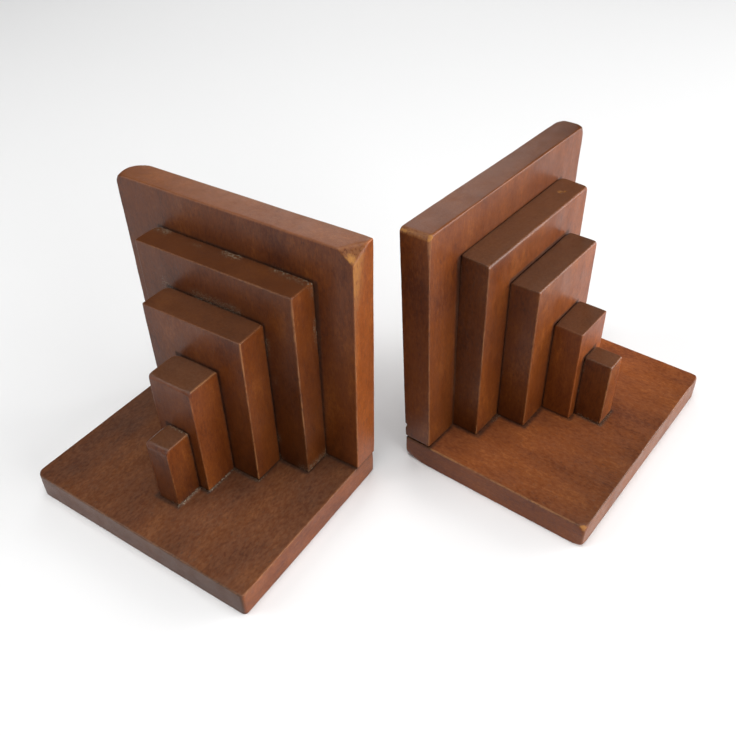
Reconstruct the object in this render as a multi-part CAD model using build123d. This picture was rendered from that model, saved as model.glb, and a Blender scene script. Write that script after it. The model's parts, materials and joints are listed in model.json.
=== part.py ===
from build123d import *
import os
from dataclasses import dataclass

# A pair of stepped wooden book ends, standing in a V with their plain backs towards each other.
#
# Each book end is modelled in a frame of its own: X runs across it, the plain face that the books
# lean on is the plane y = 0, the step blocks come forward towards -Y, and z = 0 is the underside.
# The pair is then set out on the shelf, with the middle of its outer box over the origin.

# --- The boards, in millimetres -------------------------------------------------------------------

base_width = 127.0
base_depth = 97.0
base_thickness = 13.0
back_thickness = 14.0
arris = 0.7             # radius of the hand-eased edges
back_end_radius = 9.5  # of the rear edge at the outer end of each back board, rounded by hand

# --- The countersunk wood screws that come up through the base -------------------------------------

screw_length = 32.0
screw_head_radius = 3.6
screw_shank_radius = 1.75
screw_core_radius = 1.25
screw_shank_end = 14.0  # height of the plain shank's end above the face of the head
screw_tip_length = 4.0
screw_recess = 0.4      # how far the head sits above the underside of the base
slot_width = 0.9
slot_depth = 1.0
back_screws = 3
back_screw_spacing = 45.0
step_screws = 2
step_screw_spacing = 50.0


@dataclass
class StepBlock:
    """One upright block of the stepped front; offset is its shift along X from the middle."""
    width: float
    thickness: float
    height: float
    offset: float


@dataclass
class BookEnd:
    """One book end: its own sizes, hand-cut a little differently, and its place on the shelf."""
    side: str
    back_height: float
    back_corners: dict  # radius of the back board's top corner at the -X end and at the +X end
    base_corners: dict  # radius of the base's front corner at the -X end and at the +X end
    outer_end: int      # -1 or 1: the end of X that is turned away from the other book end
    steps: list
    place: tuple        # where the middle of the rear edge stands
    turn: float         # degrees about Z


# --- The two book ends ------------------------------------------------------------------------------

turn_of_each = 42.7
spacing_of_rears = 108.6  # between the middles of the two rear edges, along X
set_back_of_right = 9.0   # how much further back the right one stands

left = BookEnd(
    side="left",
    back_height=117.5,
    back_corners={-1: 4.0, 1: 1.5},
    base_corners={-1: 4.5, 1: 2.0},
    outer_end=-1,
    steps=[
        StepBlock(86.5, 14.5, 98.0, 1.8),
        StepBlock(54.5, 16.0, 79.5, 1.3),
        StepBlock(24.0, 17.5, 59.0, 1.8),
        StepBlock(13.3, 14.0, 34.0, 1.7),
    ],
    place=(-spacing_of_rears / 2, 0.0),
    turn=-turn_of_each,
)

right = BookEnd(
    side="right",
    back_height=116.0,
    back_corners={-1: 2.0, 1: 4.5},
    base_corners={-1: 2.0, 1: 3.0},
    outer_end=1,
    steps=[
        StepBlock(87.0, 14.5, 96.0, 0.5),
        StepBlock(53.5, 15.0, 79.0, 2.7),
        StepBlock(24.0, 15.0, 51.5, 6.0),
        StepBlock(12.5, 14.0, 35.0, 5.5),
    ],
    place=(spacing_of_rears / 2, set_back_of_right),
    turn=turn_of_each,
)


def block(width, thickness, height):
    """A square-cut block: middle of its rear face's lower edge at the origin, coming forward."""
    return Box(width, thickness, height, align=(Align.CENTER, Align.MAX, Align.MIN))


def eased(solid, keep_square):
    """Rounds every edge of a block by the arris radius, but for those that keep_square picks."""
    edges = solid.edges().filter_by(lambda edge: not keep_square(edge.center()))
    return fillet(edges, arris)


def screw_profile(extra=0.0):
    """Half outline of a wood screw, head downwards; extra carries the head on below its face."""
    neck = screw_head_radius - screw_shank_radius
    tip_start = screw_length - screw_tip_length
    return Polyline(
        (0, -extra),
        (screw_head_radius, -extra),
        (screw_head_radius, 0.3),
        (screw_shank_radius, neck + 0.3),
        (screw_shank_radius, screw_shank_end),
        (screw_core_radius, screw_shank_end + 0.5),
        (screw_core_radius, tip_start),
        (0, screw_length),
        close=True,
    )


def turned(profile):
    """The solid that a half outline, drawn as (radius, height), sweeps about Z."""
    face = make_face(Plane.XZ * profile)
    return revolve(face, Axis.Z)


def wood_screw():
    """A slotted countersunk wood screw, point upwards, with the face of its head at z = 0."""
    slot = Box(3 * screw_head_radius, slot_width, slot_depth, align=(Align.CENTER, Align.CENTER, Align.MIN))
    return turned(screw_profile()) - slot


def screw_hole():
    """The countersunk hole and pilot that the screw fills, opening below its head."""
    return turned(screw_profile(extra=screw_recess + 1.0))


def in_a_row(count, spacing, x, y):
    """Places for a row of screws across the book end, as locations on the underside."""
    first = x - spacing * (count - 1) / 2
    return [Location((first + spacing * i, y, screw_recess)) for i in range(count)]


def base_board(book_end, holes):
    """The board that lies on the shelf and reaches forward under the steps."""
    board = block(base_width, base_depth, base_thickness)
    for end, radius in book_end.base_corners.items():
        corner = board.edges().filter_by(Axis.Z).filter_by(
            lambda edge: edge.center().Y < -1 and edge.center().X * end > 0)
        board = fillet(corner, radius)
    board = eased(board, lambda c: abs(c.Y) < 0.01)
    return board - holes


def plan_with_round_end(book_end):
    """A block as large as the back board, with only the rear edge of its outer end rounded."""
    solid = block(base_width, back_thickness, book_end.back_height)
    edge = solid.edges().filter_by(Axis.Z).filter_by(
        lambda edge: edge.center().Y > -1 and edge.center().X * book_end.outer_end > 0)
    return fillet(edge, back_end_radius)


def back_board(book_end, holes):
    """The board that stands on the rear of the base; its rear face takes the books."""
    board = block(base_width, back_thickness, book_end.back_height)
    for end, radius in book_end.back_corners.items():
        corner = board.edges().filter_by(Axis.Y).filter_by(
            lambda edge: edge.center().Z > 1 and edge.center().X * end > 0)
        board = fillet(corner, radius)
    board = eased(board, lambda c: c.Z < 0.01)
    board &= plan_with_round_end(book_end)
    return Pos(0, 0, base_thickness) * board - holes


def step_block(step, rear_y):
    """One block of the stepped front, standing on the base with its rear face at rear_y."""
    solid = block(step.width, step.thickness, step.height)
    solid = eased(solid, lambda c: abs(c.Y) < 0.01 or c.Z < 0.01)
    return Pos(step.offset, rear_y, base_thickness) * solid


def book_end_pieces(book_end):
    """Every piece of one book end in its own frame, by node name."""
    first_step = book_end.steps[0]
    back_places = in_a_row(back_screws, back_screw_spacing, 0.0, -back_thickness / 2)
    step_y = -back_thickness - first_step.thickness / 2
    step_places = in_a_row(step_screws, step_screw_spacing, first_step.offset, step_y)
    holes = [place * screw_hole() for place in back_places + step_places]

    pieces = {
        "base_board": base_board(book_end, holes),
        "back_board": back_board(book_end, holes[:back_screws]),
        "back_board_screws": Compound([place * wood_screw() for place in back_places]),
        "step_block_screws": Compound([place * wood_screw() for place in step_places]),
    }
    rear_y = -back_thickness
    for number, step in enumerate(book_end.steps, start=1):
        solid = step_block(step, rear_y)
        if number == 1:
            solid -= holes[back_screws:]
        pieces[f"step_block_{number}"] = solid
        rear_y -= step.thickness
    return {f"{book_end.side}_{name}": piece for name, piece in pieces.items()}


def set_out(book_ends):
    """Every piece of the pair as it stands on the shelf, centred over the origin."""
    placed = {}
    for book_end in book_ends:
        standing = Location((*book_end.place, 0), (0, 0, book_end.turn))
        for name, piece in book_end_pieces(book_end).items():
            placed[name] = piece.moved(standing)
    middle = Compound(list(placed.values())).bounding_box().center()
    to_origin = Location((-middle.X, -middle.Y, 0))
    return {name: piece.moved(to_origin) for name, piece in placed.items()}, to_origin


pieces, to_origin = set_out([left, right])
os.makedirs("parts", exist_ok=True)
for name, piece in pieces.items():
    export_step(piece, f"parts/{name}.step")
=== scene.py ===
import json
import math
from dataclasses import dataclass, field

import bpy
import numpy as np
from mathutils import Matrix, Vector


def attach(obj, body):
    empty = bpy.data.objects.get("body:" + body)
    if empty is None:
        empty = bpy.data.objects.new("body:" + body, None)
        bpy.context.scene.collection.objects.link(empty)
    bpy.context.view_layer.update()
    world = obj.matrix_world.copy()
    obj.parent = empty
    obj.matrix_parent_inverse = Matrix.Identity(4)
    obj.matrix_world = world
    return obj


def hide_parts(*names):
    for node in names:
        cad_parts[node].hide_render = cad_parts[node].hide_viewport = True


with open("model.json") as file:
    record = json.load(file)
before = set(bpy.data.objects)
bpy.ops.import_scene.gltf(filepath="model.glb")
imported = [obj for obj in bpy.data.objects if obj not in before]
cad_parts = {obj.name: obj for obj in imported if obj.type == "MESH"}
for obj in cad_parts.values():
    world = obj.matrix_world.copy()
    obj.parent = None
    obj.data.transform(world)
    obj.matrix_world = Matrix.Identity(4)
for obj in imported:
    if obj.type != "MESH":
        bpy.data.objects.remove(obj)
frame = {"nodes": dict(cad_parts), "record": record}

# The looks of a pair of stepped wooden book ends. Every board and block is carved again as a closed
# mesh, with hand-eased, rubbed and chipped edges, inside the box of the CAD node that it replaces,
# and then put out of square by a few millimetres, as handmade ones are.
# Carving is done in millimetres, in the book end's own frame: x across it, the book face is the
# plane y = 0 with the steps towards -y, and z up from the shelf.

MM = 0.001
X, Y, Z = 0, 1, 2
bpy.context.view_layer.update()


# --- Camera and lights --------------------------------------------------------------------------------

# These five are rounded results of a least-squares fit of the camera to the CAD's corners, against the
# same corners picked in the reference picture.
camera_lens = 40.56          # mm, on the usual 36 mm sensor
camera_place = (-48.4, -288.9, 294.9)  # mm
camera_azimuth = 7.84        # degrees from +Y towards +X
camera_dip = 39.49           # degrees below the horizon
camera_roll = -1.76

# Soft lights: name, azimuth from +Y towards +X and elevation of where it hangs in degrees, watts.
# The watts of top and rear were set one by one. The other seven are rounded results of a non-negative
# least-squares fit of single-lamp renders to colours read off the reference picture, two of them sums
# over neighbouring lamps. They suit that picture's view and say little about the real room.
SOFT_LIGHTS = [
    ("right_rear", 90.0, 15.0, 16.8),
    ("right", 120.0, 15.0, 9.8),
    ("right_front", 150.0, 15.0, 10.5),
    ("top", 0.0, 90.0, 10.0),
    ("front_high", 205.0, 68.0, 7.3),
    ("left", 270.0, 42.0, 5.6),
    ("left_low", 270.0, 15.0, 3.3),
    ("rear", 8.0, 40.0, 1.5),
    ("rear_low", 8.0, 15.0, 3.8),
]
light_distance = 1.6    # metres
light_size = 0.9


def make_camera():
    camera = bpy.data.objects.new("camera", bpy.data.cameras.new("camera"))
    camera.data.lens = camera_lens
    camera.data.sensor_width = 36.0
    camera.data.clip_start = 0.01
    turn = Matrix.Rotation(math.radians(-camera_azimuth), 4, "Z")
    tip = Matrix.Rotation(math.radians(90.0 - camera_dip), 4, "X")
    roll = Matrix.Rotation(math.radians(camera_roll), 4, "Z")
    camera.matrix_world = Matrix.Translation(Vector(camera_place) * MM) @ turn @ tip @ roll
    bpy.context.scene.collection.objects.link(camera)
    bpy.context.scene.camera = camera


def make_lights():
    for name, azimuth, elevation, watts in SOFT_LIGHTS:
        lamp = bpy.data.lights.new(name, "AREA")
        lamp.shape = "DISK"
        lamp.size = light_size
        lamp.energy = watts
        lamp_object = bpy.data.objects.new(name, lamp)
        a, e = math.radians(azimuth), math.radians(elevation)
        towards = Vector((math.sin(a) * math.cos(e), math.cos(a) * math.cos(e), math.sin(e)))
        lamp_object.location = towards * light_distance
        lamp_object.rotation_euler = towards.to_track_quat("Z", "Y").to_euler()
        bpy.context.scene.collection.objects.link(lamp_object)
    bpy.context.scene.view_settings.view_transform = "Standard"


def make_floor():
    bpy.ops.mesh.primitive_plane_add(size=12.0)
    floor = bpy.context.object
    floor.name = "floor"
    paper = bpy.data.materials.new("pale_paper")
    paper.use_nodes = True
    shader = paper.node_tree.nodes["Principled BSDF"]
    shader.inputs["Base Color"].default_value = (0.90, 0.90, 0.90, 1.0)
    shader.inputs["Roughness"].default_value = 0.9
    floor.data.materials.append(paper)


# --- Noise --------------------------------------------------------------------------------------------

def lattice_value(cell, seed):
    """A fixed pseudo-random number from 0 to 1 for each whole-number cell."""
    c = cell.astype(np.int64)
    h = c[:, 0] * 73856093 ^ c[:, 1] * 19349663 ^ c[:, 2] * 83492791 ^ seed * 2654435761
    h = (h ^ (h >> 15)) * 2246822519 & 0xFFFFFFFF
    h = (h ^ (h >> 13)) * 3266489917 & 0xFFFFFFFF
    return ((h ^ (h >> 16)) & 0xFFFF) / 65535.0


def noise(points, size, seed):
    """Smooth noise from -1 to 1, with lumps about size across; size may be one number or three."""
    p = points / np.asarray(size, float)
    cell = np.floor(p)
    f = p - cell
    f = f * f * (3.0 - 2.0 * f)
    total = np.zeros(len(p))
    for corner in np.ndindex(2, 2, 2):
        weight = np.prod(np.where(np.array(corner) == 1, f, 1.0 - f), axis=1)
        total += weight * lattice_value(cell + corner, seed)
    return total * 2.0 - 1.0


def smooth_step(low, high, value):
    """0 at low, 1 at high, eased between; low may be above high."""
    t = np.clip((value - low) / (high - low), 0.0, 1.0)
    return t * t * (3.0 - 2.0 * t)


def smooth_max(a, b, blend):
    """The larger of two distances, with the crease between them softened over blend."""
    h = np.maximum(blend - np.abs(a - b), 0.0) / blend
    return np.maximum(a, b) + h * h * blend * 0.25


# --- The shape of one piece ---------------------------------------------------------------------------

@dataclass
class Cut:
    """Wood worn or broken away beyond the plane through three points.

    Each point is a shift in mm from the piece's corner that the signs pick. rough is the depth of the
    torn surface, and blend how softly it meets the faces round it. bare is how much pale wood shows,
    strongest at the point bare_at, also a shift from that corner, within bare_reach mm. rubbed is how
    far the stain is gone from the rest of the cut.
    """
    corner: tuple
    points: list
    rough: float = 0.1
    blend: float = 0.35
    bare: float = 0.0
    bare_at: tuple = (0.0, 0.0, 0.0)
    bare_reach: float = 5.0
    rubbed: float = 0.0


@dataclass
class Dent:
    """A small hollow: a ball of that radius, centred at a shift in mm from the corner."""
    corner: tuple
    shift: tuple
    radius: float


@dataclass
class Bead:
    """Glue squeezed out and gone grey along the foot of one side of a block that stands on this piece."""
    block: str
    side: int
    radius: float


@dataclass
class Carving:
    """How one board or block is shaped, worn, and painted with light and shade.

    An edge is named by the signs of the two faces that meet in it, with 0 for the axis it runs along.
    A corner is named by three signs, and a 0 there stands for all along that axis.
    """
    seed: int
    grain: int = Z             # the axis that the grain runs along
    arris: float = 0.45        # mean radius of the eased edges
    edges: dict = field(default_factory=dict)    # edge -> radius of an edge rounded more or less
    rubbed: dict = field(default_factory=dict)   # edge -> (how far its stain is rubbed off, how wide)
    chipped: dict = field(default_factory=dict)  # edge -> mean and spread in mm of its chips' depth
    cuts: list = field(default_factory=list)
    dents: list = field(default_factory=list)
    beads: list = field(default_factory=list)
    skew: dict = field(default_factory=dict)     # corner -> shift in mm, where it is out of square
    # The pieces' tones began near factors from the same fit as the lights. The tones and the two tables
    # after them were then adjusted towards the reference picture, so they hold some painted light and shade.
    tone: float = 1.0          # how light the wood is, with some painted light and shade of the whole piece
    painted_face_light: dict = field(default_factory=dict)    # (axis, sign) of a face -> how much lighter it is, as painted light and shade
    shaded: dict = field(default_factory=dict)   # (face, end) -> how much lighter it is at that end, as painted light and shade
    dust_and_sheen: float = 0.08         # how much a thin grey film of dust and painted sheen hides of its top
    dust: float = 0.5          # how dusty its joints are
    dust_reach: float = 2.4    # how far from a joint the dust lies, in mm
    grime_and_shade_reach: float = 1.3   # and the dark grime and painted contact shade
    fine: dict = field(default_factory=dict)     # axis -> (low, high) share of the side with close rows


rub_width = 0.85        # how far from an edge its stain is usually rubbed off
lightly_rubbed = (0.12, rub_width)
unrubbed = (0.0, rub_width)
face_inset = 0.08       # how far the planed faces lie inside the box
crease_blend = 0.3      # how softly two eased edges run into each other
chip_blend = 0.12       # and how softly a chip, a dent and a bead of glue meet the wood round them
dent_blend = 0.25
bead_blend = 0.3
chip_bare = 0.8         # how much pale wood shows in a chip and in a dent
dent_bare = 0.55
well_radius = 3.75      # the recesses below the screws' heads
well_depth = 0.9


def box_gap(p, box):
    """Distance of each point from a box given by its lowest and highest corner."""
    low, high = box
    return np.linalg.norm(np.maximum(np.maximum(low - p, p - high), 0.0), axis=1)


class Block:
    """The box of a CAD node in its book end's own frame, and the distance to the shape carved in it.

    joined maps the names of the pieces that touch it to their boxes. wells are the places, in x and
    y, of the screw heads sunk in its underside.
    """

    def __init__(self, box, carving, joined, wells):
        self.low, self.high = box
        self.carving, self.joined, self.wells = carving, joined, wells
        self.middle, self.half = (self.low + self.high) / 2, (self.high - self.low) / 2
        self.planes = [self.plane_of(cut) for cut in carving.cuts]

    def at(self, corner, shift=(0.0, 0.0, 0.0)):
        return self.middle + self.half * np.array(corner) + np.array(shift, float)

    def plane_of(self, cut):
        a, b, c = (self.at(cut.corner, point) for point in cut.points)
        normal = np.cross(b - a, c - a)
        normal /= np.linalg.norm(normal)
        if normal @ (self.middle - a) > 0:
            normal = -normal
        return a, normal

    def from_face(self, p, face):
        axis, sign = face
        return self.half[axis] - sign * (p - self.middle)[:, axis]

    def from_edge(self, p, edge):
        across = [axis for axis in (X, Y, Z) if edge[axis]]
        return np.linalg.norm((p - self.at(edge))[:, across], axis=1)

    def settle(self, p):
        """Draws the unevenness of each point, which stays with it while the shape is carved."""
        seed = self.carving.seed
        to_corner = np.linalg.norm(self.half - np.abs(p - self.middle), axis=1)
        self.uneven = 0.30 * noise(p, 11.0, seed) + 0.22 * noise(p, 4.0, seed + 1)
        self.uneven += 0.6 * np.exp(-(to_corner / 3.0) ** 2)
        self.swell = 0.07 * noise(p, 26.0, seed + 2)
        self.torn = 0.6 * noise(p, (1.6, 1.6, 5.0), seed + 7) + 0.4 * noise(p, 0.7, seed + 8)
        self.ragged = {}
        for edge in self.carving.chipped:
            long_lumps = np.where(np.array(edge) == 0, 6.0, 2.5)
            self.ragged[edge] = noise(p, long_lumps, seed + 9) + 0.7 * noise(p, long_lumps / 3, seed + 10)
        self.lumps = 0.55 + 0.45 * noise(p, 3.0, seed + 11)

    def outline_distance(self, p, along):
        """Distance to the box's outline, seen along one axis, with its four corners rounded."""
        flat = [axis for axis in (X, Y, Z) if axis != along]
        q = (p - self.middle)[:, flat]
        outline = np.full(len(p), -np.inf)
        for signs in ((-1, -1), (-1, 1), (1, -1), (1, 1)):
            edge = np.zeros(3, int)
            edge[flat] = signs
            radius = self.carving.edges.get(tuple(edge), self.carving.arris)
            radius = radius + min(radius, 1.0) * self.uneven
            d = q * signs - self.half[flat] + radius[:, None]
            beyond = np.linalg.norm(np.maximum(d, 0.0), axis=1)
            outline = np.maximum(outline, beyond + np.minimum(d.max(axis=1), 0.0) - radius)
        return outline

    def cut_distances(self, p):
        """Distance beyond each cut's plane, with its torn surface."""
        return [(p - point) @ normal + cut.rough * self.torn
                for cut, (point, normal) in zip(self.carving.cuts, self.planes)]

    def chip_distances(self, p):
        """Distance beyond the ragged chamfer of each chipped edge."""
        chips = []
        for edge, (depth, spread) in self.carving.chipped.items():
            outward = np.array(edge) / np.linalg.norm(edge)
            chips.append((p - self.at(edge)) @ outward + depth + spread * self.ragged[edge])
        return chips

    def dent_distances(self, p):
        """Distance into each dent's ball."""
        return [dent.radius - np.linalg.norm(p - self.at(dent.corner, dent.shift), axis=1)
                for dent in self.carving.dents]

    def bead_distances(self, p):
        """Distance from each bead of glue, lumpy along its length."""
        distances = []
        for bead in self.carving.beads:
            low, high = self.joined[bead.block]
            foot = high[X] if bead.side > 0 else low[X]
            along = np.clip(p[:, Y], low[Y] + 0.5, high[Y] - 1.0)
            off = np.column_stack([p[:, X] - foot, p[:, Y] - along, p[:, Z] - self.high[Z]])
            distances.append(np.linalg.norm(off, axis=1) - bead.radius * self.lumps)
        return distances

    def distance(self, p):
        """Signed distance to the carved surface, in mm: positive in the air."""
        surface = self.outline_distance(p, X)
        for along in (Y, Z):
            surface = smooth_max(surface, self.outline_distance(p, along), crease_blend)
        surface += face_inset - 0.25 * crease_blend + self.swell
        for cut, beyond in zip(self.carving.cuts, self.cut_distances(p)):
            surface = smooth_max(surface, beyond, cut.blend)
        for beyond in self.chip_distances(p):
            surface = smooth_max(surface, beyond, chip_blend)
        for into in self.dent_distances(p):
            surface = smooth_max(surface, into, dent_blend)
        for beyond in self.bead_distances(p):
            surface = -smooth_max(-surface, -beyond, bead_blend)
        for centre in self.wells:
            off = np.linalg.norm(p[:, :Z] - centre, axis=1)
            surface = np.maximum(surface, np.minimum(well_radius - off, self.low[Z] + well_depth - p[:, Z]))
        return surface

    def joint_gap(self, p):
        """Distance of each point from the nearest piece joined to this one."""
        return np.min([box_gap(p, box) for box in self.joined.values()], axis=0)

    def skewed(self, p):
        """The points of a piece that is out of square, moved from the square shape."""
        t = (p - self.middle) / self.half
        moved = p.copy()
        for corner, shift in self.carving.skew.items():
            share = np.prod([(1 + t[:, axis] * sign) / 2 for axis, sign in enumerate(corner) if sign], axis=0)
            moved += share[:, None] * np.array(shift)
        return moved


edge_rows = np.array([0.0, 0.12, 0.26, 0.42, 0.6, 0.82, 1.1, 1.45, 1.9, 2.5, 3.3, 4.4, 5.8, 7.4, 9.2])
joint_rows = np.array([0.2, 0.5, 0.9, 1.4, 2.0, 2.8])
well_rows = np.linspace(-4.2, 4.2, 21)
middle_row = 2.8        # mm between the rows of the mesh away from the edges
fine_row = 0.55         # and between those of the fine part
closest_rows = 0.05     # a row nearer than this to the one before it is left out


def rows(block, axis):
    """Where the mesh's rows lie along one axis: close at edges, joints, wells and the fine part."""
    low, high = block.low[axis], block.high[axis]
    half = (high - low) / 2
    near = edge_rows[edge_rows < half * 0.92]
    start, stop = low + near[-1], high - near[-1]
    count = max(1, round((stop - start) / middle_row))
    places = list(low + near) + list(high - near) + list(np.linspace(start, stop, count + 1))
    for box in block.joined.values():
        for edge in (box[0][axis], box[1][axis]):
            places += list(edge + joint_rows) + list(edge - joint_rows)
    if axis != Z:
        for centre in block.wells:
            places += list(centre[axis] + well_rows)
    if axis in block.carving.fine:
        first, last = (low + (high - low) * share for share in block.carving.fine[axis])
        places += list(np.arange(first, last, fine_row))
    places = np.unique(np.clip(np.round(places, 4), low, high))
    keep = np.concatenate([[True], np.diff(places) > closest_rows])
    return places[keep]


def shell_of_box(lines):
    """Points and quads of a box's surface, with rows at the given places on the three axes."""
    counts = [len(line) for line in lines]
    number = -np.ones(counts, int)
    on_surface = np.zeros(counts, bool)
    for axis in (X, Y, Z):
        for end in (0, -1):
            on_surface[tuple(end if a == axis else slice(None) for a in (X, Y, Z))] = True
    cells = np.argwhere(on_surface)
    number[on_surface] = np.arange(len(cells))
    points = np.stack([lines[axis][cells[:, axis]] for axis in (X, Y, Z)], axis=1)
    quads = []
    for axis in (X, Y, Z):
        for end in (0, -1):
            side = number[tuple(end if a == axis else slice(None) for a in (X, Y, Z))]
            ring = [side[:-1, :-1], side[1:, :-1], side[1:, 1:], side[:-1, 1:]]
            outward = (end == -1) != (axis == Y)
            quads.append(np.stack(ring if outward else ring[::-1], axis=-1).reshape(-1, 4))
    return points, np.concatenate(quads)


carving_steps = 35
carving_stride = 0.85   # share of the distance to the surface that a point moves in each step


def carve(block):
    """Moves the box's points on to the carved surface, from a little outside it."""
    points, quads = shell_of_box([rows(block, axis) for axis in (X, Y, Z)])
    block.settle(points)
    # Each point moves towards a core of the block that lies deeper than its widest rounding.
    depth = np.minimum(block.half * 0.96, max([2.0, *block.carving.edges.values()]) + 1.5)
    core = np.clip(points, block.low + depth, block.high - depth)
    inward = core - points
    inward /= np.linalg.norm(inward, axis=1)[:, None]
    travelled = np.full(len(points), -1.0)
    for _ in range(carving_steps):
        travelled += carving_stride * block.distance(points + inward * travelled[:, None])
    return points + inward * travelled[:, None], quads


# --- Paint: what the materials read at each point ---------------------------------------------------------

def set_attribute(mesh, name, kind, values):
    attribute = mesh.attributes.new(name, kind, "POINT")
    key = "vector" if kind == "FLOAT_VECTOR" else "value"
    attribute.data.foreach_set(key, np.asarray(values, np.float32).ravel())


def edge_wear(block, p):
    """How far the stain is rubbed off along the edges, patchily."""
    seed = block.carving.seed
    ragged = 0.22 * noise(p, 2.2, seed + 4)
    patchy = 0.4 + 0.6 * smooth_step(-0.7, 0.5, noise(p, 9.0, seed + 3))
    wear = np.zeros(len(p))
    for edge in np.ndindex(3, 3, 3):
        edge = tuple(sign - 1 for sign in edge)
        if np.count_nonzero(edge) == 2:
            strength, reach = block.carving.rubbed.get(edge, lightly_rubbed)
            near = smooth_step(reach, reach - 0.45, block.from_edge(p, edge) + ragged)
            wear = np.maximum(wear, strength * near * patchy)
    for cut, beyond in zip(block.carving.cuts, block.cut_distances(p)):
        wear = np.maximum(wear, cut.rubbed * smooth_step(-0.5, -0.1, beyond))
    return wear


def bare_wood_share(block, p):
    """How much pale wood shows where wood is broken away."""
    bare = np.zeros(len(p))
    for cut, beyond in zip(block.carving.cuts, block.cut_distances(p)):
        on_cut = smooth_step(-0.5, -0.1, beyond)
        away = np.linalg.norm(p - block.at(cut.corner, cut.bare_at), axis=1)
        away += 0.3 * cut.bare_reach * block.torn
        bare = np.maximum(bare, cut.bare * on_cut * smooth_step(cut.bare_reach, 0.3 * cut.bare_reach, away))
    for beyond in block.chip_distances(p):
        bare = np.maximum(bare, chip_bare * smooth_step(-0.25, -0.05, beyond))
    for into in block.dent_distances(p):
        bare = np.maximum(bare, dent_bare * smooth_step(-0.25, 0.0, into))
    return bare


def paint(mesh, block, p):
    """Stores the wood's place, wear, bare wood, dirt, dust and painted light and shade, for the material."""
    carving, seed = block.carving, block.carving.seed
    order = [axis for axis in (X, Y, Z) if axis != carving.grain] + [carving.grain]
    plank = np.random.default_rng(seed).uniform(-400.0, 400.0, 3)
    set_attribute(mesh, "grain", "FLOAT_VECTOR", p[:, order] + plank)
    set_attribute(mesh, "wear", "FLOAT", edge_wear(block, p))
    set_attribute(mesh, "bare", "FLOAT", bare_wood_share(block, p))

    from_end = block.half[carving.grain] - np.abs(p - block.middle)[:, carving.grain]
    set_attribute(mesh, "end_grain", "FLOAT", smooth_step(1.0, 0.3, from_end))

    # Painted light and shade: the tone makes faces and ends lighter or darker where light falls or shade
    # lies.
    tone = carving.tone * np.ones(len(p))
    for face, factor in carving.painted_face_light.items():
        tone *= 1.0 + (factor - 1.0) * smooth_step(1.2, 0.2, block.from_face(p, face))
    for (face, (end_axis, end_sign)), factor in carving.shaded.items():
        share = (1.0 + end_sign * (p - block.middle)[:, end_axis] / block.half[end_axis]) / 2
        tone *= 1.0 + (factor - 1.0) * share ** 2 * smooth_step(1.2, 0.2, block.from_face(p, face))
    set_attribute(mesh, "tone", "FLOAT", tone)

    # A thin grey film on the top: dust and painted sheen in one.
    set_attribute(mesh, "dust_and_sheen", "FLOAT", carving.dust_and_sheen * smooth_step(1.0, 0.2, block.high[Z] - p[:, Z]))
    joint = block.joint_gap(p)
    # Darker near the joints: grime, and painted contact shade where the pieces meet.
    set_attribute(mesh, "grime_and_shade", "FLOAT", smooth_step(carving.grime_and_shade_reach, 0.1, joint))
    settled = smooth_step(carving.dust_reach, 0.35 * carving.dust_reach, joint)
    dust = carving.dust * settled * smooth_step(-0.3, 0.5, noise(p, 7.0, seed + 5))
    for beyond in block.bead_distances(p):
        dust = np.maximum(dust, smooth_step(0.35, 0.05, beyond))
    set_attribute(mesh, "dust", "FLOAT", dust)


# --- Materials --------------------------------------------------------------------------------------------

class Nodes:
    """Short calls for building a node material."""

    def __init__(self, name):
        self.material = bpy.data.materials.new(name)
        self.material.use_nodes = True
        self.tree = self.material.node_tree
        self.shader = self.tree.nodes["Principled BSDF"]

    def feed(self, socket, value):
        if isinstance(value, bpy.types.NodeSocket):
            self.tree.links.new(value, socket)
        else:
            socket.default_value = value

    def attribute(self, name):
        node = self.tree.nodes.new("ShaderNodeAttribute")
        node.attribute_name = name
        return node.outputs["Vector"] if name == "grain" else node.outputs["Fac"]

    def stretch(self, vector, scale):
        node = self.tree.nodes.new("ShaderNodeMapping")
        self.feed(node.inputs["Vector"], vector)
        node.inputs["Scale"].default_value = scale
        return node.outputs["Vector"]

    def noise(self, vector, detail=3.0, roughness=0.55, distortion=0.0):
        node = self.tree.nodes.new("ShaderNodeTexNoise")
        self.feed(node.inputs["Vector"], vector)
        node.inputs["Scale"].default_value = 1.0
        node.inputs["Detail"].default_value = detail
        node.inputs["Roughness"].default_value = roughness
        node.inputs["Distortion"].default_value = distortion
        return node.outputs["Fac"]

    def math(self, operation, a, b=0.0, clamp=False):
        node = self.tree.nodes.new("ShaderNodeMath")
        node.operation = operation
        node.use_clamp = clamp
        self.feed(node.inputs[0], a)
        self.feed(node.inputs[1], b)
        return node.outputs[0]

    def between(self, value, low, high, to_low=0.0, to_high=1.0):
        node = self.tree.nodes.new("ShaderNodeMapRange")
        node.interpolation_type = "SMOOTHSTEP"
        self.feed(node.inputs["Value"], value)
        for key, number in (("From Min", low), ("From Max", high), ("To Min", to_low), ("To Max", to_high)):
            node.inputs[key].default_value = number
        return node.outputs["Result"]

    def mix(self, share, a, b):
        node = self.tree.nodes.new("ShaderNodeMix")
        node.data_type = "RGBA"
        self.feed(node.inputs["Factor"], share)
        for key, colour in (("A", a), ("B", b)):
            socket = next(s for s in node.inputs if s.name == key and s.type == "RGBA")
            self.feed(socket, colour if isinstance(colour, bpy.types.NodeSocket) else (*colour, 1.0))
        return next(s for s in node.outputs if s.type == "RGBA")

    def scale_colour(self, colour, factor):
        node = self.tree.nodes.new("ShaderNodeVectorMath")
        node.operation = "SCALE"
        self.feed(node.inputs[0], colour)
        self.feed(node.inputs["Scale"], factor)
        return node.outputs[0]

    def bump(self, height, strength, distance, normal=None):
        node = self.tree.nodes.new("ShaderNodeBump")
        node.inputs["Strength"].default_value = strength
        node.inputs["Distance"].default_value = distance
        self.feed(node.inputs["Height"], height)
        if normal is not None:
            self.feed(node.inputs["Normal"], normal)
        return node.outputs["Normal"]
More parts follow.
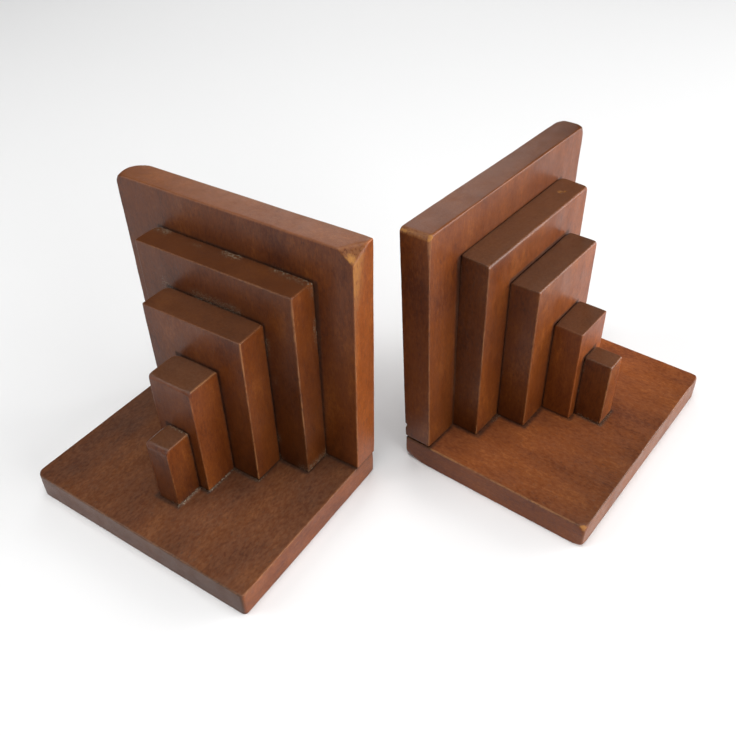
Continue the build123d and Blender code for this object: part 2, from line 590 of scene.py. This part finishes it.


# middle_wood began as the wood colour from the same fit as the lights, and was then adjusted.
dark_wood = (0.078, 0.0162, 0.0031)
middle_wood = (0.136, 0.0330, 0.0056)
light_wood = (0.218, 0.0620, 0.0112)
end_wood = (0.118, 0.0420, 0.0150)
pore_wood = (0.040, 0.0105, 0.0040)
rubbed_wood = (0.270, 0.1150, 0.0400)
bare_wood = (0.350, 0.1500, 0.0320)
# The dark colour near the joints: grime, and painted contact shade.
grime_and_shade_brown = (0.020, 0.0085, 0.0045)
# The grey of the film on the tops: dust and painted sheen.
dust_and_sheen_grey = (0.200, 0.1700, 0.1250)
speck_grey = (0.270, 0.2400, 0.1700)


def mahogany():
    """Stained, varnished, satin mahogany with painted light and shade, read in the place that paint() stored.
    """
    n = Nodes("mahogany")
    grain = n.attribute("grain")
    wear, bare = n.attribute("wear"), n.attribute("bare")

    cloud = n.noise(n.stretch(grain, (0.055, 0.055, 0.028)), detail=5.0, roughness=0.6)
    figure = n.noise(n.stretch(grain, (0.36, 0.36, 0.055)), detail=4.0, roughness=0.6, distortion=0.4)
    fibre = n.noise(n.stretch(grain, (2.1, 2.1, 0.30)), detail=4.0, roughness=0.6)
    pores = n.noise(n.stretch(grain, (2.9, 2.9, 0.36)), detail=1.5, roughness=0.5)
    mottle = n.noise(n.stretch(grain, (0.75, 0.75, 0.42)), detail=5.0, roughness=0.7)

    tone = n.math("ADD", n.math("MULTIPLY", cloud, 0.5), n.math("MULTIPLY", figure, 0.12))
    tone = n.math("ADD", tone, n.math("MULTIPLY", mottle, 0.38))
    colour = n.mix(n.between(tone, 0.36, 0.52), dark_wood, middle_wood)
    colour = n.mix(n.between(tone, 0.50, 0.66), colour, light_wood)
    colour = n.mix(n.math("MULTIPLY", n.between(fibre, 0.50, 0.74), 0.35), colour, light_wood)
    colour = n.mix(n.math("MULTIPLY", n.between(fibre, 0.50, 0.28), 0.35), colour, dark_wood)
    colour = n.mix(n.math("MULTIPLY", n.attribute("end_grain"), 0.5), colour, end_wood)
    open_pores = n.between(pores, 0.60, 0.72)
    colour = n.mix(n.math("MULTIPLY", open_pores, 0.6), colour, pore_wood)
    # The tone holds painted light and shade besides the wood's own tone.
    colour = n.scale_colour(colour, n.attribute("tone"))
    # A grey film on the tops: dust and painted sheen.
    dust_and_sheen = n.math("MULTIPLY", n.attribute("dust_and_sheen"), n.between(mottle, 0.35, 0.65, 0.7, 1.4))
    colour = n.mix(dust_and_sheen, colour, dust_and_sheen_grey)

    rub_noise = n.noise(n.stretch(grain, (1.1, 1.1, 0.5)), detail=4.0)
    rub_noise = n.math("ADD", rub_noise, n.math("MULTIPLY", wear, 0.2))
    rubbed = n.math("MULTIPLY", wear, n.between(rub_noise, 0.40, 0.66), clamp=True)
    colour = n.mix(rubbed, colour, rubbed_wood)
    # Darker near the joints: grime, and painted contact shade where the pieces meet.
    dirt_and_shade_noise = n.noise(n.stretch(grain, (0.5, 0.5, 0.3)), detail=4.0)
    dirt_and_shade = n.math("MULTIPLY", n.attribute("grime_and_shade"), n.between(dirt_and_shade_noise, 0.25, 0.6, 0.55, 1.0))
    colour = n.mix(n.math("MULTIPLY", dirt_and_shade, 0.75), colour, grime_and_shade_brown)
    torn_noise = n.noise(n.stretch(grain, (1.2, 1.2, 0.45)), detail=4.0)
    torn_noise = n.math("ADD", torn_noise, n.math("MULTIPLY", bare, 0.2))
    torn = n.math("MULTIPLY", bare, n.between(torn_noise, 0.42, 0.66), clamp=True)
    colour = n.mix(torn, colour, bare_wood)
    speck_noise = n.noise(n.stretch(grain, (1.7, 1.7, 1.7)), detail=5.0, roughness=0.75)
    dust = n.attribute("dust")
    speck_noise = n.math("ADD", speck_noise, n.math("MULTIPLY", dust, 0.12))
    specks = n.math("MULTIPLY", dust, n.between(speck_noise, 0.62, 0.71), clamp=True)
    colour = n.mix(n.math("MULTIPLY", specks, 0.8), colour, speck_grey)
    n.feed(n.shader.inputs["Base Color"], colour)

    satin = n.noise(n.stretch(grain, (0.12, 0.12, 0.06)), detail=5.0)
    gloss = n.between(satin, 0.25, 0.75, 0.28, 0.43)
    matt = n.math("ADD", n.math("ADD", rubbed, torn), n.math("ADD", specks, dirt_and_shade))
    rough = n.math("ADD", gloss, n.math("MULTIPLY", matt, 0.25), clamp=True)
    n.feed(n.shader.inputs["Roughness"], rough)
    n.shader.inputs["Specular IOR Level"].default_value = 0.29

    hand_planed = n.bump(n.noise(n.stretch(grain, (0.10, 0.10, 0.05)), detail=2.0), 0.25, 0.6 * MM)
    fibres = n.bump(fibre, 0.35, 0.10 * MM, hand_planed)
    pitted = n.bump(n.math("SUBTRACT", 1.0, open_pores), 0.35, 0.08 * MM, fibres)
    n.feed(n.shader.inputs["Normal"], pitted)
    return n.material


def plain_steel():
    """The dull steel of old wood screws, with brown specks of rust."""
    n = Nodes("screw_steel")
    place = n.tree.nodes.new("ShaderNodeTexCoord").outputs["Object"]
    blotch = n.noise(n.stretch(place, (900.0, 900.0, 900.0)), detail=5.0)
    scratch = n.noise(n.stretch(place, (5000.0, 300.0, 300.0)), detail=3.0)
    rust = n.between(blotch, 0.52, 0.66)
    colour = n.mix(n.between(scratch, 0.3, 0.7), (0.30, 0.29, 0.27), (0.46, 0.45, 0.42))
    n.feed(n.shader.inputs["Base Color"], n.mix(rust, colour, (0.14, 0.05, 0.02)))
    n.feed(n.shader.inputs["Metallic"], n.between(rust, 0.0, 1.0, 0.95, 0.2))
    n.feed(n.shader.inputs["Roughness"], n.between(rust, 0.0, 1.0, 0.42, 0.8))
    n.feed(n.shader.inputs["Normal"], n.bump(scratch, 0.2, 0.05 * MM))
    return n.material


# --- The pieces ---------------------------------------------------------------------------------------------

# The faces and the ends of a piece, as (axis, sign).
FRONT, REAR, TOP, FOOT = (Y, -1), (Y, 1), (Z, 1), (Z, -1)
SIDE, AWAY = (X, 1), (X, -1)     # the ends of the left book end's pieces, in view and out of it
NEAR, FAR = (X, -1), (X, 1)      # the ends of the right book end's pieces

BASE = dict(grain=Y, arris=0.6, grime_and_shade_reach=2.0)
BACK = dict(grain=Z, arris=0.5)

# The ends that point away from each other are rounded by hand, most along the rear.
LEFT_BACK_END = {(-1, 1, 0): 10.0, (-1, -1, 0): 0.8, (-1, 0, 1): 1.5}
RIGHT_BACK_END = {(1, 1, 0): 8.0, (1, -1, 0): 3.5, (1, 0, 1): 3.2}
LEFT_STEP_END = {(-1, 1, 0): 4.0, (-1, -1, 0): 0.7}
RIGHT_STEP_RUBBED = {(-1, -1, 0): (0.5, 0.8), (0, -1, 1): unrubbed}

# The tone, face and end factors below paint light and shade into the wood, besides its own tone.
CARVINGS = {
    "left_base_board": Carving(
        11, edges={(-1, -1, 0): 4.5, (1, -1, 0): 2.0, (0, -1, 1): 0.9},
        tone=0.84, painted_face_light={SIDE: 1.45, FRONT: 0.88}, shaded={(FRONT, SIDE): 0.72, (TOP, REAR): 0.7},
        rubbed={(0, -1, 1): (0.35, rub_width), (1, 0, 1): (0.4, rub_width), (1, -1, 0): (0.3, rub_width)},
        beads=[Bead("left_step_block_4", 1, 1.4), Bead("left_step_block_3", 1, 0.8)],
        skew={(0, -1, 0): (0, -0.6, 0), (1, 1, 0): (-1.2, 0, 0)},
        dust_and_sheen=0.11, dust=0.8, **BASE),
    "left_back_board": Carving(
        12, edges={**LEFT_BACK_END, (0, -1, 1): 0.9},
        tone=0.84, painted_face_light={SIDE: 1.75, TOP: 1.85}, shaded={(TOP, AWAY): 0.88},
        rubbed={(1, -1, 0): (0.55, rub_width), (1, 0, 1): unrubbed},
        cuts=[
            Cut((1, -1, 1), [(-8.0, 0, 0), (0, 0, -6.2), (0, 11.0, 0)], 0.12, 0.5,
                bare=1.0, bare_at=(-1.8, 0.8, -3.2), bare_reach=3.2, rubbed=0.4),
            Cut((1, -1, 1), [(0, 3.9, -6.0), (-0.3, 0, -6.0), (0, 0, -38.0)], 0.1, 0.5,
                bare=0.6, bare_at=(0, 1.0, -11.0), bare_reach=20.0, rubbed=0.5),
            Cut((-1, -1, 1), [(2.4, 0, 0), (0, 4.0, 0), (0, 0, -2.6)], 0.05, 1.5),
        ],
        skew={(1, 0, 1): (1.9, 0, 0), (1, 0, -1): (-0.5, 0, 0)},
        dust_and_sheen=0.06, fine={X: (0.92, 1.0), Z: (0.68, 1.0)}, **BACK),
    "left_step_block_1": Carving(
        13, edges={**LEFT_STEP_END, (0, -1, 1): 0.8, (0, 1, 1): 0.9},
        tone=0.70, painted_face_light={SIDE: 1.1, FRONT: 0.97},
        shaded={(SIDE, TOP): 1.45, (FRONT, TOP): 1.2, (SIDE, FOOT): 0.72, (FRONT, SIDE): 0.8},
        rubbed={(1, -1, 0): (0.6, rub_width), (0, -1, 1): (0.35, rub_width)},
        dust_and_sheen=0.0, dust=0.9, dust_reach=7.0),
    "left_step_block_2": Carving(
        14, edges={**LEFT_STEP_END, (0, -1, 1): 0.6, (0, 1, 1): 0.9},
        tone=0.73, painted_face_light={SIDE: 1.2},
        shaded={(SIDE, TOP): 1.2, (FRONT, TOP): 1.25, (SIDE, FOOT): 0.88},
        rubbed={(1, -1, 0): (0.75, rub_width), (1, 0, 1): (0.3, rub_width)},
        skew={(1, -1, 1): (1.0, 0, 0.4)}, dust_and_sheen=0.03),
    "left_step_block_3": Carving(
        15, edges={**LEFT_STEP_END, (0, -1, 1): 2.2, (0, 1, 1): 0.9},
        tone=0.78, painted_face_light={SIDE: 1.25}, shaded={(SIDE, TOP): 1.3, (FRONT, TOP): 1.15},
        rubbed={(1, -1, 0): (0.3, rub_width), (1, 0, 1): (0.7, rub_width)}),
    "left_step_block_4": Carving(
        16, edges={(-1, 1, 0): 3.5, (-1, -1, 0): 1.8, (0, -1, 1): 3.0, (-1, 0, 1): 2.5},
        tone=0.74, painted_face_light={SIDE: 1.05}, shaded={(SIDE, TOP): 1.4, (SIDE, FOOT): 0.75},
        rubbed={(1, -1, 0): (0.3, rub_width), (1, 0, 1): (0.5, rub_width)}, dust=0.9),
    "right_base_board": Carving(
        21, edges={(-1, -1, 0): 1.2, (1, -1, 0): 3.0, (0, -1, 1): 1.0},
        tone=1.6, painted_face_light={NEAR: 0.68, FRONT: 0.92}, shaded={(TOP, FRONT): 0.57, (TOP, FAR): 1.75},
        rubbed={(-1, 0, 1): (1.0, 0.95), (-1, -1, 0): (0.7, rub_width), (0, -1, 1): (0.2, rub_width)},
        cuts=[
            Cut((-1, -1, 1), [(3.4, 0, 0), (0, 3.4, 0), (0, 0, -3.4)], 0.12, 1.2,
                bare=0.8, bare_at=(0.8, 0.8, -0.6), bare_reach=4.5),
            Cut((-1, 1, -1), [(0, 0, 2.8), (0, -8.0, 0), (3.0, 0, 0)], 0.05, 2.0),
            Cut((-1, -1, -1), [(0, 0, 1.2), (0, 4.0, 0), (3.0, 0, 0)], 0.05, 1.5),
        ],
        skew={(-1, 1, 0): (-0.35, -1.75, 0), (1, 0, 0): (0.7, 0, 0)},
        dust=0.8, fine={X: (0.0, 0.05), Y: (0.0, 0.06)}, **BASE),
    "right_back_board": Carving(
        22, edges={**RIGHT_BACK_END, (-1, 0, 1): 2.6, (0, -1, 1): 1.0, (0, -1, -1): 0.2},
        tone=0.86, painted_face_light={TOP: 1.3, FRONT: 0.84},
        shaded={
            (TOP, FAR): 0.72, (FRONT, NEAR): 1.35, (FRONT, FAR): 1.45, (FRONT, TOP): 1.2, (FRONT, FOOT): 0.75,
        },
        rubbed={(-1, -1, 0): (0.5, 0.75), (-1, 0, 1): (0.45, 2.6), (0, -1, 1): unrubbed},
        chipped={(-1, 0, 1): (1.0, 0.22)},
        cuts=[
            Cut((-1, -1, 1), [(3.0, 0, 0), (0, 3.0, 0), (0, 0, -3.0)], 0.4, 0.3,
                bare=0.9, bare_at=(1.0, 0.8, -1.2), bare_reach=2.8, rubbed=0.6),
            Cut((1, -1, 1), [(-4.0, 0, 0), (0, 4.0, 0), (0, 0, -4.0)], 0.05, 2.0),
            Cut((-1, -1, 1), [(1.2, 0, -2.0), (0, 1.0, -2.0), (0, 0, -15.0)], 0.08, 0.5, rubbed=0.4),
            Cut((-1, 0, -1), [(0, 0, 1.2), (0, 5, 1.2), (16.0, 0, 0)], 0.05),
        ],
        dents=[Dent((-1, 1, -1), (-0.2, 0.2, 7.4), 1.6)],
        skew={
            (-1, 1, 1): (-3.2, 0.5, 0), (-1, -1, 1): (-2.6, 0, 0), (-1, 0, -1): (-0.5, -1.5, 0),
            (1, 0, 1): (2.0, 0, 0), (1, 1, 1): (0, -1.0, 0), (1, 0, -1): (0.5, 0, 0),
        },
        dust_and_sheen=0.0, fine={X: (0.0, 0.06), Z: (0.86, 1.0)}, **BACK),
    "right_step_block_1": Carving(
        23, edges={(1, 1, 0): 3.0, (0, -1, 1): 1.8, (0, 1, 1): 0.7, (-1, 1, 0): 1.0},
        tone=0.80, painted_face_light={NEAR: 0.78, FRONT: 1.2}, shaded={(FRONT, FAR): 1.55, (TOP, FAR): 1.25},
        rubbed=RIGHT_STEP_RUBBED,
        dents=[Dent((1, 0, 1), (-13.0, 0.5, 0.9), 1.5), Dent((1, 0, 1), (-11.4, -1.3, 0.8), 1.3)],
        skew={(0, 1, 1): (0, 0, 0.8), (1, 0, 0): (0.6, 0, 0)}, fine={X: (0.82, 0.92), Y: (0.3, 0.7)}),
    "right_step_block_2": Carving(
        24, edges={(1, 1, 0): 2.2, (0, -1, 1): 1.4, (0, 1, 1): 1.1},
        tone=0.74, painted_face_light={NEAR: 0.98, FRONT: 1.42}, shaded={(FRONT, FAR): 1.65},
        rubbed=RIGHT_STEP_RUBBED, skew={(-1, 1, 1): (0, 0, -0.7), (1, 0, 1): (0.6, 0, -0.5)}),
    "right_step_block_3": Carving(
        25, edges={(1, 1, 0): 1.5, (0, -1, 1): 0.6, (0, 1, 1): 1.1},
        tone=0.85, painted_face_light={NEAR: 1.33, FRONT: 1.62}, shaded={(FRONT, FAR): 1.5},
        rubbed=RIGHT_STEP_RUBBED, skew={(-1, 1, 1): (1.0, 0, -0.6), (1, 0, 0): (0.6, 0, 0)}),
    "right_step_block_4": Carving(
        26, edges={(1, 1, 0): 2.5, (0, -1, 1): 0.8},
        tone=0.86, painted_face_light={NEAR: 0.9, FRONT: 1.13}, shaded={(FRONT, FAR): 1.5},
        rubbed={(-1, -1, 0): (0.6, 0.8)}, skew={(-1, 0, 1): (1.3, 0, 0)}, dust=0.8),
}


def place_of(side):
    """The matrix from a book end's own frame, in metres, to the row's, read off its book face."""
    mount = next(m for m in frame["record"]["mounts"] if m["name"] == f"{side}_book_face")
    rearwards = Vector(mount["axis"]).normalized()
    across = rearwards.cross(Vector((0, 0, 1)))
    turn = Matrix((across, rearwards, Vector((0, 0, 1)))).transposed().to_4x4()
    foot = Vector((mount["pos_m"][0], mount["pos_m"][1], 0.0))
    return Matrix.Translation(foot) @ turn


def own_points(node, place):
    """The points of a CAD node in its book end's own frame, in mm."""
    to_own = np.array(place.inverted())
    mesh = frame["nodes"][node].data
    co = np.zeros(len(mesh.vertices) * 3)
    mesh.vertices.foreach_get("co", co)
    return (co.reshape(-1, 3) @ to_own[:3, :3].T + to_own[:3, 3]) / MM


def own_box(node, place):
    points = own_points(node, place)
    return points.min(axis=0), points.max(axis=0)


def screw_places(nodes, place):
    """Where the screws of these nodes stand, in x and y: each one has its point right over its head."""
    places = []
    for node in nodes:
        points = own_points(node, place)
        tips = points[points[:, Z] > points[:, Z].max() - 0.01]
        places += list(np.unique(np.round(tips[:, :Z], 1), axis=0))
    return places


def make_mesh(name, points, quads, place):
    """A smooth mesh with its points, carved in the book end's own frame, moved to the row's."""
    to_row = np.array(place)
    mesh = bpy.data.meshes.new(name)
    in_row = points @ to_row[:3, :3].T * MM + to_row[:3, 3]
    mesh.from_pydata(in_row.tolist(), [], quads.tolist())
    mesh.shade_smooth()
    return mesh


def boxes_touch(one, other):
    return bool(np.all(one[0] < other[1] + 0.3) and np.all(other[0] < one[1] + 0.3))


def wooden_piece(node, boxes, wells, place, body, wood):
    """Carves one board or block, and puts it in place of its CAD node."""
    joined = {other: box for other, box in boxes.items() if other != node and boxes_touch(box, boxes[node])}
    block = Block(boxes[node], CARVINGS[node], joined, wells)
    points, quads = carve(block)
    mesh = make_mesh(node + "_wood", block.skewed(points), quads, place)
    paint(mesh, block, points)
    mesh.materials.append(wood)
    piece = bpy.data.objects.new(node + "_wood", mesh)
    bpy.context.scene.collection.objects.link(piece)
    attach(piece, body)
    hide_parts(node)


def make_pieces():
    wood, steel = mahogany(), plain_steel()
    bodies = frame["record"]["behaviour"]["bodies"]
    for side in ("left", "right"):
        place = place_of(side)
        body = f"{side}_book_end"
        boards = [node for node in bodies[body] if node in CARVINGS]
        screws = [node for node in bodies[body] if node not in CARVINGS]
        boxes = {node: own_box(node, place) for node in boards}
        for node in boards:
            wells = screw_places(screws, place) if node.endswith("base_board") else []
            wooden_piece(node, boxes, wells, place, body, wood)
        for node in screws:
            frame["nodes"][node].data.materials.clear()
            frame["nodes"][node].data.materials.append(steel)


make_camera()
make_lights()
make_floor()
make_pieces()
